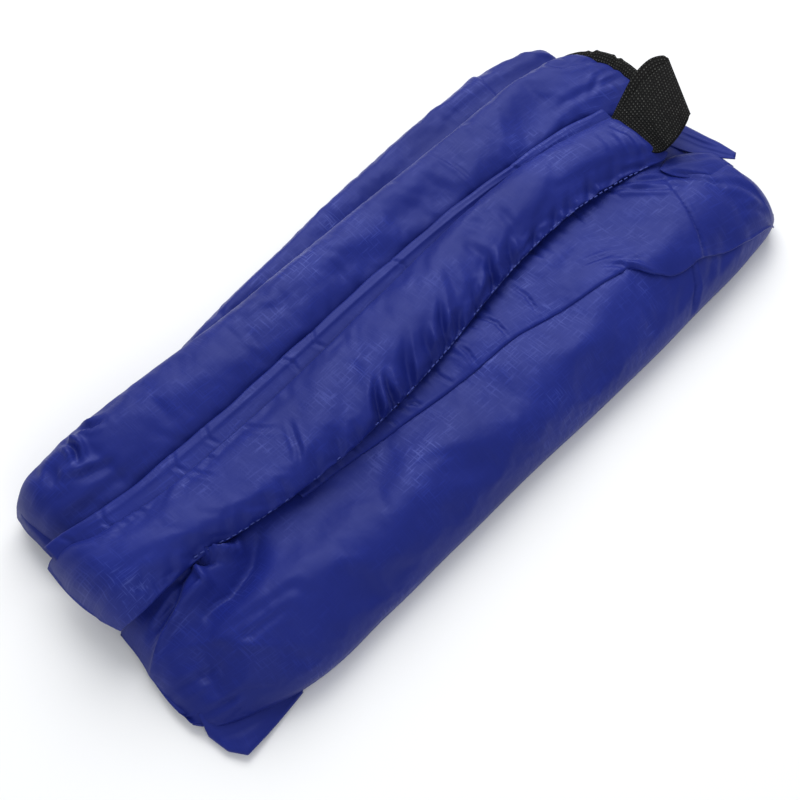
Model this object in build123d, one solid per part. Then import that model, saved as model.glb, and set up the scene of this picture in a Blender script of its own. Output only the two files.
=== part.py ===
"""Air track mat, let down and folded lengthwise into a bundle with a webbing carry loop.

Frame: +X runs along the bundle from its foot end to the end with the carry loop, +Y to the
left, +Z up. The origin is under the middle of the bundle, on the surface it lies on.
Lengths are in millimetres. A profile is a list of (y, z) corners across the bundle.
"""
from build123d import *
import os

# Whole bundle
FOOT_X = -221.0
LOOP_TIP_X = 221.0
HALF_WIDTH = 98.0
BASE_TOP = 9.0
LAYER_GAP = 0.3          # air between two layers of cloth that lie on each other

# Fabric sleeves and the air bladders in them
CLOTH_ROUND = 2.0        # rounding of a sleeve's folded edges
BLADDER_FIT = 0.3        # slack between a bladder and its sleeve
BLADDER_ROUND = 1.8

# Lines along the bundle, as distances from its middle
BASE_HALF = 81.5
REAR_INNER_Y = 28.5      # inner edge of the rear sleeve
LEFT_INNER_Y = 27.5      # inner edge of the left sleeve
LEFT_OUTER_Y = 71.0      # fold that the left sleeve turns about
TOP_LEFT_Y = 18.5        # free edge of the top fold
SEAM_Y = -31.0           # sewn seam that the top fold turns about
SEAM_Z = 41.0
CORE_RIGHT_Y = -5.5
TOP_HEAD_X = 177.0       # head end of the top fold, where the loop comes out

# Seam, bands and small cloth pieces
FLAP_THICK = 2.0
THREAD_R = 0.6
BINDING_THICK = 2.2

# Webbing carry loop
WEB_WIDTH = 40.0
WEB_THICK = 1.6
LOOP_Y = -9.5            # middle of the webbing
LOOP_Z = 43.4            # middle of the loop's root
TAIL_LENGTH = 18.0       # webbing sewn into the top fold
LOOP_HINGE_X = TOP_HEAD_X + 4.0

# Valve, in the pocket under the top fold
VALVE_X = 0.0
VALVE_Y = 7.0
VALVE_Z = 22.3           # face of the sleeve that the valve is welded into
POCKET_HALF = 27.0       # half the length of the pocket between the turned-back ends
PATCH_R = 12.4
FLANGE_R = 11.6
NECK_R = 7.5
NECK_BORE_R = 5.6
CAP_R = 9.4
CAP_HEIGHT = 5.0


def section(profile, x, width=1.0, height=1.0, drop=0.0):
    """One rounded cross-section of a sleeve, narrowed and lowered at the bundle's ends."""
    ys = [y for y, z in profile]
    low = min(z for y, z in profile)
    middle = (min(ys) + max(ys)) / 2
    corners = []
    for y, z in profile:
        corners.append((x, middle + (y - middle) * width, low + (z - low) * height - drop))
    radius = CLOTH_ROUND * min(width, height)
    return make_face(FilletPolyline(*corners, radius=radius, close=True))


def cloth(profile, stations):
    """Closed solid of one folded layer: its profile carried through its stations."""
    return loft([section(profile, *station) for station in stations], ruled=True)


def pad(x_range, y_range, z_range, grow=0.0):
    """Flat, rounded bladder; grow makes the hollow that it lies in."""
    size = [high - low + 2 * grow for low, high in (x_range, y_range, z_range)]
    middle = [(low + high) / 2 for low, high in (x_range, y_range, z_range)]
    box = Box(*size)
    return Pos(*middle) * fillet(box.edges(), BLADDER_ROUND)


def filled(outside, bladder_ranges):
    """A sleeve with its hollow, and the bladder that fills it."""
    return outside - pad(*bladder_ranges, grow=BLADDER_FIT), pad(*bladder_ranges)


def disc(radius, low, high, bore=0.0):
    """Round part of the valve between two heights over the sleeve it stands on."""
    part = Pos(VALVE_X, VALVE_Y, VALVE_Z + (low + high) / 2) * Cylinder(radius, high - low)
    if bore:
        part -= Pos(VALVE_X, VALVE_Y, VALVE_Z + (low + high) / 2) * Cylinder(bore, high - low + 1)
    return part


def slab(low, high, round_by=0.8):
    """Rounded block between two corners."""
    size = [b - a for a, b in zip(low, high)]
    middle = [(a + b) / 2 for a, b in zip(low, high)]
    return Pos(*middle) * fillet(Box(*size).edges(), round_by)


def base_sleeve():
    profile = [(-BASE_HALF, 0), (BASE_HALF, 0), (BASE_HALF, BASE_TOP), (-BASE_HALF, BASE_TOP)]
    stations = [(-200, 0.95, 0.6), (-192, 1, 1), (182, 1, 1), (190, 0.95, 0.6)]
    outside = cloth(profile, stations)
    return filled(outside, ((-186, 176), (-70, 70), (2.2, 6.8)))


RIGHT_PROFILE = [
    (-HALF_WIDTH, 5), (-91, 0), (-BASE_HALF - 1, 0), (-BASE_HALF - 1, BASE_TOP + 0.8),
    (CORE_RIGHT_Y - 1, BASE_TOP + 0.8), (CORE_RIGHT_Y - 1, 34), (-28, 34.5), (-41, 31),
    (-62, 36.5), (-86, 30), (-97, 16),
]


def right_outside():
    stations = [(-219, 0.92, 0.42), (-209, 0.98, 0.78), (-190, 1, 1), (180, 1, 1),
                (200, 0.98, 0.8), (209, 0.93, 0.5)]
    return cloth(RIGHT_PROFILE, stations)


def right_sleeve():
    return filled(right_outside(), ((-185, 180), (-78, -12), (16, 23)))


def rear_sleeve():
    profile = [
        (HALF_WIDTH, 5), (91, 0), (BASE_HALF + 1, 0), (BASE_HALF + 1, BASE_TOP + 0.8),
        (REAR_INNER_Y, BASE_TOP + 0.8), (REAR_INNER_Y, 20), (64, 22), (88, 19), (97, 12),
    ]
    stations = [(-118, 0.985, 0.7, -3), (-105, 0.99, 1), (190, 1, 1), (208, 0.93, 0.7)]
    outside = cloth(profile, stations)
    return filled(outside, ((-95, 180), (36, 78), (13, 17)))


def rear_turnunder():
    """Foot end of the rear sleeve, folded in beneath the left sleeve."""
    profile = [(73, BASE_TOP + 0.8), (REAR_INNER_Y + 1, BASE_TOP + 0.8), (REAR_INNER_Y + 1, 21.5),
               (73, 21.5)]
    return cloth(profile, [(-207, 0.92, 0.35), (-198, 1, 0.5), (-150, 1, 0.9), (-119, 1, 1)])


def left_sleeve():
    profile = [(LEFT_OUTER_Y, 24.5), (LEFT_INNER_Y, 23), (LEFT_INNER_Y, 37), (44, 46),
               (60, 45), (LEFT_OUTER_Y, 34)]
    stations = [(-210, 0.86, 0.62, 8), (-198, 0.98, 0.9, 6), (-150, 1, 1, 1), (-110, 1, 1, 0),
                (185, 1, 0.95, 0), (203, 0.9, 0.6, 0)]
    outside = cloth(profile, stations)
    return filled(outside, ((-172, 175), (38, 62), (27, 32)))


def centre_sleeve():
    profile = [(SEAM_Y, 39.4), (TOP_LEFT_Y, 38.6), (TOP_LEFT_Y, 44), (8, 51), (-8, 53),
               (-24, 50), (SEAM_Y, 44.5)]
    stations = [(FOOT_X, 0.92, 0.5, 8), (-213, 0.98, 0.8, 3), (-195, 1, 1, 0), (150, 1, 1, 0),
                (TOP_HEAD_X, 0.98, 0.86, 0)]
    outside = cloth(profile, stations)
    return filled(outside, ((-180, 145), (-6, 9), (41.4, 45.2)))


def core_sleeve():
    profile = [(CORE_RIGHT_Y, BASE_TOP + 0.8), (REAR_INNER_Y - 1, BASE_TOP + 0.8),
               (REAR_INNER_Y - 1, 22), (CORE_RIGHT_Y, 22)]
    stations = [(-203, 0.95, 0.7), (-195, 1, 1), (190, 1, 1), (200, 0.95, 0.7)]
    outside = cloth(profile, stations)
    return filled(outside, ((-188, 180), (-1, 22), (13.5, 18)))


def turned_back_ends():
    """The core sleeve's two ends, folded back over it; the valve sits between them."""
    profile = [(CORE_RIGHT_Y, 22.3), (TOP_LEFT_Y, 22.3), (TOP_LEFT_Y, 37.6), (CORE_RIGHT_Y, 37.6)]
    foot = cloth(profile, [(-207, 0.95, 0.6), (-198, 1, 1), (-POCKET_HALF, 1, 1)])
    head = cloth(profile, [(POCKET_HALF, 1, 1), (165, 1, 1), (178, 0.95, 0.7)])
    return foot, head


def edge_band():
    """Narrow doubled hem that stands between the left sleeve and the top fold."""
    profile = [(TOP_LEFT_Y + 1, 22.8), (26.7, 22.8), (26.4, 41.5), (TOP_LEFT_Y + 2.5, 42.5)]
    stations = [(-212, 0.9, 0.7, 5), (-196, 1, 0.95, 0), (150, 1, 1, 0), (176, 0.9, 0.75, 0)]
    return cloth(profile, stations)


def seam_flap():
    """Loose layer over the right sleeve, from under the seam to its own folded edge."""
    outline = [(-104, -26), (205, -26), (205, -90), (188, -94), (145, -84), (118, -76), (113, -62),
               (79, -54), (39, -45), (-37, -39), (-79, -33), (-104, -30)]
    plan = make_face(Polyline(*outline, close=True))
    over = Pos(0, 0, LAYER_GAP + FLAP_THICK) * right_outside()
    under = Pos(0, 0, LAYER_GAP) * right_outside()
    return extrude(Pos(0, 0, BASE_TOP) * plan, 40) & (over - under)


def seam_stitching():
    """Sewing thread along the seam edge of the top fold, a run of short stitches."""
    pitch = 8.0
    length = 5.2
    stitches = []
    for number in range(44):
        place = Pos(-190 + number * pitch, SEAM_Y - THREAD_R - LAYER_GAP, SEAM_Z)
        stitches.append(place * Rot(0, 90, 0) * Cylinder(THREAD_R, length))
    return Compound(children=stitches)


def mouth_binding():
    """Black tape that binds the head end's raw edges, behind the left sleeve."""
    return slab((203.6, 22, 23), (203.6 + BINDING_THICK, 62, 33))


def hem_tail():
    return slab((200.5, -58, 31.5), (216, -37, 34), 1.0)


def head_tuck():
    return slab((181, -57, 37.9), (201, -35, 42.1), 1.6)


def loop_tail():
    """The webbing's two ends, one on the other, sewn into the top fold's head end."""
    return slab((TOP_HEAD_X - TAIL_LENGTH, LOOP_Y - WEB_WIDTH / 2 + 2, LOOP_Z - WEB_THICK),
                (LOOP_HINGE_X - 2.2, LOOP_Y + WEB_WIDTH / 2 - 2, LOOP_Z + WEB_THICK), 0.5)


def loop_stitching():
    """Boxed stitch rows through the top fold's end and the webbing in it."""
    rows = []
    for x in (TOP_HEAD_X - 15, TOP_HEAD_X - 5):
        for number in range(7):
            y = LOOP_Y - 15 + number * 5
            rows.append(Pos(x, y, LOOP_Z) * Rot(90, 0, 0) * Cylinder(0.4, 3.2))
    return rows


def carry_loop():
    """Webbing loop: out from the seam, up round its tip, and back over itself."""
    reach = LOOP_TIP_X - LOOP_HINGE_X
    leg = (WEB_THICK + 0.2) / 2
    path = FilletPolyline((0.4, -leg), (reach - 9, 2.5), (reach, 12.5), (reach - 7, 19.5),
                          (reach - 22, 17.5), (0.4, leg), radius=4.5)
    band = trace(path, WEB_THICK)
    plane = Plane(origin=(LOOP_HINGE_X, LOOP_Y, LOOP_Z), x_dir=(1, 0, 0), z_dir=(0, -1, 0))
    return extrude(plane * band, WEB_WIDTH / 2, both=True)


def valve():
    """Reinforcing patch, flange, neck, one-way flap, leash ring, cap and cap seal."""
    cap = disc(CAP_R, 6.0, 6.0 + CAP_HEIGHT)
    cap -= disc(NECK_R + 0.5, 5.5, 9.0)
    grips = PolarLocations(CAP_R + 0.2, 12)
    for place in grips:
        cap -= Pos(VALVE_X, VALVE_Y, VALVE_Z + 8.5) * place * Cylinder(0.8, 6)
    leash = disc(NECK_R + 1.8, 2.6, 3.6, bore=NECK_R + 0.2)
    leash += slab((VALVE_X + NECK_R + 1, VALVE_Y - 1.5, VALVE_Z + 2.6),
                  (VALVE_X + CAP_R + 8, VALVE_Y + 1.5, VALVE_Z + 3.6), 0.3)
    return {
        "valve_patch": disc(PATCH_R, 0.1, 0.9, bore=NECK_BORE_R),
        "valve_flange": disc(FLANGE_R, 0.9, 2.2, bore=NECK_BORE_R),
        "valve_neck": disc(NECK_R, 2.2, 8.2, bore=NECK_BORE_R),
        "valve_flap": disc(NECK_BORE_R, 1.0, 1.8),
        "cap_leash": leash,
        "valve_cap": cap,
        "cap_seal": disc(NECK_R, 8.3, 8.9, bore=NECK_BORE_R),
    }


def build():
    parts = {}
    parts["base_sleeve"], parts["base_bladder"] = base_sleeve()
    parts["rear_sleeve"], parts["rear_bladder"] = rear_sleeve()
    parts["right_sleeve"], parts["right_bladder"] = right_sleeve()
    parts["rear_turnunder"] = rear_turnunder()
    parts["left_sleeve"], parts["left_bladder"] = left_sleeve()
    parts["core_sleeve"], parts["core_bladder"] = core_sleeve()
    parts["foot_turnback"], parts["head_turnback"] = turned_back_ends()
    parts["edge_band"] = edge_band()
    parts["seam_flap"] = seam_flap()
    parts["seam_stitching"] = seam_stitching()
    parts["mouth_binding"] = mouth_binding()
    parts["hem_tail"] = hem_tail()
    parts["head_tuck"] = head_tuck()
    parts["carry_loop"] = carry_loop()
    parts.update(valve())

    sleeve, parts["centre_bladder"] = centre_sleeve()
    tail = loop_tail()
    threads = loop_stitching()
    sleeve -= tail
    for thread in threads:
        sleeve -= thread
        tail -= thread
    parts["centre_sleeve"] = sleeve
    parts["loop_tail"] = tail
    parts["loop_stitching"] = Compound(children=threads)
    return parts


os.makedirs("parts", exist_ok=True)
for name, shape in build().items():
    export_step(shape, f"parts/{name}.step")
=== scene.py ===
"""Looks for the folded air track mat: sewn nylon sleeves, seams, webbing and light.

Everything is in metres in the row frame: +X runs to the head end with the carry loop, +Y to
the left, +Z up. Tables of cloth shapes are in millimetres and are scaled by MM.
"""
import math

import bpy
import numpy as np
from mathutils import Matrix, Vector
from mathutils.bvhtree import BVHTree


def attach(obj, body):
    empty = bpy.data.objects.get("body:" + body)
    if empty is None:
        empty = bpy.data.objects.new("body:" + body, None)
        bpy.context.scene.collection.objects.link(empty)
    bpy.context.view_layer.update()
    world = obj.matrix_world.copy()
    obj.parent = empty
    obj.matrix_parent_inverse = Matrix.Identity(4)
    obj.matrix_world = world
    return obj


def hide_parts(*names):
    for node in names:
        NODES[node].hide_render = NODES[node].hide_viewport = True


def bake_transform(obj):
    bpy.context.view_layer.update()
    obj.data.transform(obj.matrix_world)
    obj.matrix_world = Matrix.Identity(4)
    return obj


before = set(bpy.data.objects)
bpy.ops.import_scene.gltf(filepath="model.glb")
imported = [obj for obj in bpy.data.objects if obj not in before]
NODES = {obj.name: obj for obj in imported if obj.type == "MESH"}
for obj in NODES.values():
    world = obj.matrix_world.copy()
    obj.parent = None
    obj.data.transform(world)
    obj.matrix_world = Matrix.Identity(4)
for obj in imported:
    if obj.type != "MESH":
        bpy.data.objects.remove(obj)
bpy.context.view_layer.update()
bpy.ops.object.select_all(action="DESELECT")

MM = 0.001

# Cloth
STEP = 2.6               # spacing of a sleeve's mesh before it is subdivided once, mm
CLOTH_FRAMES = 12         # how long the cloth simulation runs, frames
CLOTH_SETTLE_CAP = 2.5    # how far a point may move in it, mm
CLOTH_PRESSURE = 0.5      # the air in a sleeve while it runs
LOOP_THICKNESS = 1.5      # webbing, mm
CLOTH_THICKNESS = 0.7     # a loose folded layer of sleeve cloth, mm
BAND_THICKNESS = 0.6      # the edge band's cloth, mm
TAPE_THICKNESS = 1.3      # the doubled binding tape, mm
STITCH_LENGTH = 2.2       # mm
STITCH_RADIUS = 0.35      # mm
STITCH_PITCH = 3.4        # along the seam, mm
FLAP_STEP = 1.15          # spacing of the seam flap's mesh along the bundle, mm
BAND_STEP = 1.05          # and of the edge band's, mm
FLOOR_CLEARANCE = 0.2     # how far the lowest cloth stays above the floor, mm
ABOVE_ALL = 200           # a height over every piece, mm
WELD = 0.05               # mesh points closer than this become one, mm


# ---------------------------------------------------------------- camera, light and floor

def place_camera():
    """Looks down across the bundle from its foot end and right side."""
    azimuth, elevation, distance = math.radians(-46.2), math.radians(60.0), 0.90
    target = Vector((-0.025, -0.023, 0.020))
    back = Vector((math.sin(azimuth) * math.cos(elevation),
                   -math.cos(azimuth) * math.cos(elevation), math.sin(elevation)))
    data = bpy.data.cameras.new("camera")
    data.lens = 78
    camera = bpy.data.objects.new("camera", data)
    bpy.context.scene.collection.objects.link(camera)
    camera.location = target + back * distance
    camera.rotation_euler = (-back).to_track_quat("-Z", "Y").to_euler()
    bpy.context.scene.camera = camera


def soft_light(name, place, aim, size, power):
    data = bpy.data.lights.new(name, "AREA")
    data.shape = "RECTANGLE"
    data.size, data.size_y = size
    data.energy = power
    light = bpy.data.objects.new(name, data)
    bpy.context.scene.collection.objects.link(light)
    light.location = place
    light.rotation_euler = (Vector(aim) - Vector(place)).to_track_quat("-Z", "Y").to_euler()


def light_studio():
    """A large soft light behind the bundle and a weak one in front, in a pale room."""
    world = bpy.data.worlds.new("studio")
    world.use_nodes = True
    background = world.node_tree.nodes["Background"]
    background.inputs["Color"].default_value = (0.93, 0.96, 1.0, 1)
    background.inputs["Strength"].default_value = 0.52
    bpy.context.scene.world = world
    soft_light("behind", (0.62, 0.66, 1.10), (0, 0, 0), (1.2, 1.2), 19.0)
    soft_light("front", (-0.75, -0.85, 0.80), (-0.05, -0.05, 0), (1.3, 1.3), 4.5)
    bpy.context.scene.view_settings.view_transform = "Standard"


def lay_floor():
    bpy.ops.mesh.primitive_plane_add(size=8, location=(0, 0, 0))
    floor = bpy.context.object
    floor.name = "floor"
    paint = bpy.data.materials.new("pale_floor")
    paint.use_nodes = True
    surface = paint.node_tree.nodes["Principled BSDF"]
    surface.inputs["Base Color"].default_value = (0.93, 0.93, 0.93, 1)
    surface.inputs["Roughness"].default_value = 0.9
    surface.inputs["Specular IOR Level"].default_value = 0.1
    floor.data.materials.append(paint)


# ---------------------------------------------------------------- materials

class Finish:
    """One material, built node by node."""

    def __init__(self, name, roughness, specular):
        self.material = bpy.data.materials.new(name)
        self.material.use_nodes = True
        self.tree = self.material.node_tree
        self.surface = self.tree.nodes["Principled BSDF"]
        self.surface.inputs["Roughness"].default_value = roughness
        self.surface.inputs["Specular IOR Level"].default_value = specular

    def add(self, kind, **settings):
        node = self.tree.nodes.new(kind)
        for key, value in settings.items():
            setattr(node, key, value)
        return node

    def link(self, source, target):
        self.tree.links.new(source, target)

    def coordinates(self, kind, scale):
        """Object or UV coordinates, stretched by scale."""
        places = self.add("ShaderNodeTexCoord")
        mapping = self.add("ShaderNodeMapping")
        mapping.inputs["Scale"].default_value = scale
        self.link(places.outputs[kind], mapping.inputs["Vector"])
        return mapping.outputs["Vector"]

    def noise(self, kind, scale, detail):
        node = self.add("ShaderNodeTexNoise")
        node.inputs["Scale"].default_value = 1.0
        node.inputs["Detail"].default_value = detail
        node.inputs["Roughness"].default_value = 0.55
        self.link(self.coordinates(kind, scale), node.inputs["Vector"])
        return node.outputs["Fac"]

    def bands(self, kind, scale, direction):
        node = self.add("ShaderNodeTexWave", wave_type="BANDS", bands_direction=direction)
        node.inputs["Scale"].default_value = 1.0
        node.inputs["Distortion"].default_value = 0.0
        self.link(self.coordinates(kind, scale), node.inputs["Vector"])
        return node.outputs["Fac"]

    def maths(self, operation, a, b):
        node = self.add("ShaderNodeMath", operation=operation)
        for socket, value in zip(node.inputs, (a, b)):
            if isinstance(value, (int, float)):
                socket.default_value = value
            else:
                self.link(value, socket)
        return node.outputs[0]

    def ramp(self, factor, stops):
        """Colours at places from 0 to 1."""
        node = self.add("ShaderNodeValToRGB")
        elements = node.color_ramp.elements
        while len(elements) < len(stops):
            elements.new(0.5)
        for element, (place, colour) in zip(elements, stops):
            element.position = place
            element.color = (*colour, 1)
        self.link(factor, node.inputs["Fac"])
        return node.outputs["Color"]

    def colour(self, socket):
        self.link(socket, self.surface.inputs["Base Color"])

    def roughness(self, factor, low, high):
        node = self.add("ShaderNodeMapRange")
        node.inputs["To Min"].default_value = low
        node.inputs["To Max"].default_value = high
        self.link(factor, node.inputs["Value"])
        self.link(node.outputs["Result"], self.surface.inputs["Roughness"])

    def bump(self, height, depth, strength):
        node = self.add("ShaderNodeBump")
        node.inputs["Strength"].default_value = strength
        node.inputs["Distance"].default_value = depth
        self.link(height, node.inputs["Height"])
        self.link(node.outputs["Normal"], self.surface.inputs["Normal"])


def sleeve_nylon():
    """Coated royal blue taffeta: glossier crossed threads with a painted glint that lightens their
    colour in patches, and slight dye changes.
    """
    f = Finish("sleeve_nylon", 0.40, 0.30)
    f.surface.inputs["Specular Tint"].default_value = (0.50, 0.56, 1.0, 1)
    f.surface.inputs["Sheen Weight"].default_value = 0.04
    f.surface.inputs["Sheen Roughness"].default_value = 0.4
    f.surface.inputs["Sheen Tint"].default_value = (0.55, 0.62, 1.0, 1)
    dye = f.noise("Object", (14, 14, 14), 4.0)
    warp = f.noise("UV", (90, 1300, 1), 1.0)
    weft = f.noise("UV", (1300, 90, 1), 1.0)
    threads = f.maths("MAXIMUM", warp, weft)
    glints = f.ramp(threads, [(0.54, (0, 0, 0)), (0.68, (1, 1, 1))])
    patches = f.ramp(f.noise("Object", (26, 26, 26), 2.0),
                     [(0.40, (0.15, 0.15, 0.15)), (0.64, (1, 1, 1))])
    glints = f.maths("MULTIPLY", glints, patches)
    # Painted highlight: the thread glints, in patches, are added into the colour and lighten it.
    # Below, they also lower the roughness.
    shade = f.maths("ADD", f.maths("MULTIPLY", dye, 0.75), f.maths("MULTIPLY", glints, 0.20))
    f.colour(f.ramp(shade, [(0.22, (0.0070, 0.0130, 0.140)), (0.42, (0.0092, 0.0168, 0.170)),
                            (0.60, (0.0140, 0.0240, 0.210)), (0.80, (0.050, 0.070, 0.320))]))
    f.roughness(glints, 0.50, 0.30)
    creases = f.noise("Object", (60, 60, 60), 4.0)
    fine = f.maths("ADD", f.maths("MULTIPLY", threads, 0.14), creases)
    f.bump(fine, 0.0011, 0.42)
    return f.material


def black_webbing():
    """Matte black webbing: ribs across it and small pale floats of the weave."""
    f = Finish("black_webbing", 0.8, 0.2)
    ribs = f.bands("UV", (200, 1, 1), "X")
    wales = f.bands("UV", (1, 170, 1), "Y")
    weave = f.maths("MULTIPLY", ribs, wales)
    lint = f.noise("UV", (420, 420, 1), 3.0)
    shade = f.maths("MULTIPLY", weave, lint)
    f.colour(f.ramp(shade, [(0.12, (0.0035, 0.0035, 0.0033)), (0.34, (0.0085, 0.0085, 0.008)),
                            (0.58, (0.10, 0.10, 0.092))]))
    f.roughness(weave, 0.85, 0.6)
    f.bump(weave, 0.0006, 0.9)
    return f.material


def plain_finish(name, dark, light, roughness, grain, depth):
    """A solid finish with a fine grain and a little change in shade."""
    f = Finish(name, roughness, 0.4)
    speckle = f.noise("Object", (grain, grain, grain), 4.0)
    f.colour(f.ramp(speckle, [(0.3, dark), (0.7, light)]))
    f.roughness(speckle, roughness + 0.08, roughness - 0.08)
    f.bump(speckle, depth, 0.6)
    return f.material


# ---------------------------------------------------------------- cloth forms

def smooth(table, x):
    """Values at x of a smooth curve through a few (place, value...) points."""
    table = np.array(table, float)
    places, values = table[:, 0], table[:, 1:]
    slopes = np.gradient(values, places, axis=0)
    i = np.clip(np.searchsorted(places, x) - 1, 0, len(places) - 2)
    width = places[i + 1] - places[i]
    t = np.clip((x - places[i]) / width, 0, 1)[:, None]
    a, b = values[i], values[i + 1]
    m, n = slopes[i] * width[:, None], slopes[i + 1] * width[:, None]
    t2, t3 = t * t, t * t * t
    return (2 * t3 - 3 * t2 + 1) * a + (t3 - 2 * t2 + t) * m + (3 * t2 - 2 * t3) * b + (t3 - t2) * n


def closed_curve(points, count):
    """count points on a smooth closed curve through points."""
    points = np.array(points, float)
    ring = np.concatenate([points[-1:], points, points[:2]])
    made = []
    for i in range(len(points)):
        p0, p1, p2, p3 = ring[i:i + 4]
        for t in np.linspace(0, 1, 12, endpoint=False):
            made.append(0.5 * (2 * p1 + (p2 - p0) * t + (2 * p0 - 5 * p1 + 4 * p2 - p3) * t * t
                               + (3 * p1 - p0 - 3 * p2 + p3) * t ** 3))
    made = np.array(made + [made[0]])
    along = np.concatenate([[0], np.cumsum(np.linalg.norm(np.diff(made, axis=0), axis=1))])
    at = np.linspace(0, along[-1], count, endpoint=False)
    return np.stack([np.interp(at, along, made[:, k]) for k in range(2)], axis=1)


def make_mesh(name, points, faces, uvs=None):
    """A new object from points in millimetres; uvs are one pair for each point."""
    mesh = bpy.data.meshes.new(name)
    mesh.from_pydata((np.array(points) * MM).tolist(), [], faces)
    if uvs is not None:
        layer = mesh.uv_layers.new(name="UVMap")
        loops = np.zeros(len(mesh.loops), np.int32)
        mesh.loops.foreach_get("vertex_index", loops)
        layer.data.foreach_set("uv", (np.array(uvs)[loops] * MM).astype(np.float32).ravel())
    mesh.shade_smooth()
    piece = bpy.data.objects.new(name, mesh)
    bpy.context.scene.collection.objects.link(piece)
    return piece


def sleeve(name, shape, stations, foot_round=14.0, head_round=14.0, tips=(6.0, 8.0), ends=None):
    """A closed, flattened cloth tube.

    shape is its cross-section, as (across, up) shares counted from the right side over the
    top. stations are (x, right, left, low, high). Its ends close to a folded edge at the
    heights in tips. ends gives how far the foot and head edges stand out, for shares across.
    """
    first, last = stations[0][0], stations[-1][0]
    x = np.linspace(first, last, int((last - first) / STEP))
    right, left, low, high = smooth(stations, x).T
    girth = 2.1 * float(np.mean(left - right)) + 2 * float(np.mean(high - low)) * 0.5
    count = int(girth / STEP)
    ring = closed_curve(shape, count)
    across, up = ring[:, 0][None, :], ring[:, 1][None, :]
    y = right[:, None] + across * (left - right)[:, None]
    z = low[:, None] + up * (high - low)[:, None]
    for tip, size, distance in ((tips[0], foot_round, x - first), (tips[1], head_round, last - x)):
        share = np.clip(1 - distance / size, 0, 1)
        keep = np.sqrt(np.clip(1 - share * share, 0, 1))[:, None]
        z = tip + (z - tip) * keep
        middle = ((left + right) / 2)[:, None]
        y = middle + (y - middle) * (0.93 + 0.07 * keep)
    xs = np.repeat(x[:, None], count, axis=1)
    if ends is not None:
        along = (xs - first) / (last - first)
        bow_foot, bow_head = smooth(ends, across.ravel()).T[:, None, :]
        xs = xs + bow_foot * (1 - along) ** 6 + bow_head * along ** 6
    points = np.stack([xs, y, z], axis=2).reshape(-1, 3)
    v = np.arange(count) * STEP
    uvs = np.stack([xs, np.repeat(v[None, :], len(x), axis=0)], axis=2).reshape(-1, 2)
    faces = []
    for i in range(len(x) - 1):
        for j in range(count):
            k = (j + 1) % count
            faces.append((i * count + j, i * count + k, (i + 1) * count + k, (i + 1) * count + j))
    piece = make_mesh(name, points, faces, uvs)
    bpy.context.view_layer.objects.active = piece
    piece.select_set(True)
    bpy.ops.object.mode_set(mode="EDIT")
    bpy.ops.mesh.select_all(action="SELECT")
    bpy.ops.mesh.remove_doubles(threshold=WELD * MM)
    bpy.ops.mesh.normals_make_consistent(inside=False)
    bpy.ops.object.mode_set(mode="OBJECT")
    piece.select_set(False)
    return piece


def places_of(piece):
    """A piece's points in millimetres, and their normals."""
    mesh = piece.data
    points, normals = np.zeros(len(mesh.vertices) * 3), np.zeros(len(mesh.vertices) * 3)
    mesh.vertices.foreach_get("co", points)
    mesh.vertices.foreach_get("normal", normals)
    return points.reshape(-1, 3) / MM, normals.reshape(-1, 3)


def put_places(piece, points):
    """Moves a piece's points, in millimetres, and keeps them on or above the floor."""
    points[:, 2] = np.maximum(points[:, 2], FLOOR_CLEARANCE)
    piece.data.vertices.foreach_set("co", (points * MM).ravel())
    piece.data.update()


def nearest_on_path(points, path):
    """Distance of each point, seen from above, to a path, and how far along it, 0 to 1."""
    path = np.array(path, float)
    lengths = np.linalg.norm(np.diff(path, axis=0), axis=1)
    before = np.concatenate([[0], np.cumsum(lengths)])
    best = np.full(len(points), 1e9)
    along = np.zeros(len(points))
    side = np.zeros(len(points))
    for a, b, length, start in zip(path[:-1], path[1:], lengths, before):
        d = (b - a) / length
        rel = points[:, :2] - a
        t = np.clip(rel @ d, 0, length)
        off = rel - t[:, None] * d
        distance = np.linalg.norm(off, axis=1)
        closer = distance < best
        best = np.where(closer, distance, best)
        along = np.where(closer, (start + t) / before[-1], along)
        side = np.where(closer, np.sign(rel[:, 0] * d[1] - rel[:, 1] * d[0]), side)
    return best, along, side


def fading(along, taper):
    """Fades a line at both ends, or from its first point to its last where taper is 1."""
    both = np.sin(np.pi * np.clip(along, 0.02, 0.98)) ** 0.6
    return both * (1 - taper) + (1 - along) ** 1.1 * taper


def crease(path, depth, width, bank=0.5, taper=0.0):
    """A sharp groove along a path, with a soft bank on each side."""
    def lift(points):
        distance, along, _ = nearest_on_path(points, path)
        reach = width * (1 + taper * (0.35 - along))
        groove = np.exp(-(distance / reach) ** 1.3)
        raised = np.exp(-((distance - 2.2 * reach) / (1.1 * reach)) ** 2)
        return depth * fading(along, taper) * (bank * raised - groove)
    return lift


def ridge(path, height, width, taper=0.0):
    """A pinched, sharp-crested ridge of cloth along a path."""
    def lift(points):
        distance, along, _ = nearest_on_path(points, path)
        return height * fading(along, taper) * np.exp(-(distance / width) ** 1.25)
    return lift


def step(path, height, reach):
    """A folded edge along a path: the cloth on its left lies over the cloth on its right."""
    def lift(points):
        distance, along, side = nearest_on_path(points, path)
        fade = np.clip(np.minimum(along, 1 - along) * 7, 0, 1)
        over = 1 / (1 + np.exp(np.clip(side * distance / 0.6, -30, 30)))
        return height * fade * over * np.exp(-(distance / reach) ** 1.2)
    return lift


def dent(place, size, depth):
    """A soft hollow, or with a negative depth a swell, about a place seen from above."""
    def lift(points):
        away = (points[:, :2] - np.array(place)) / np.array(size)
        return -depth * np.exp(-(away ** 2).sum(axis=1))
    return lift


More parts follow.
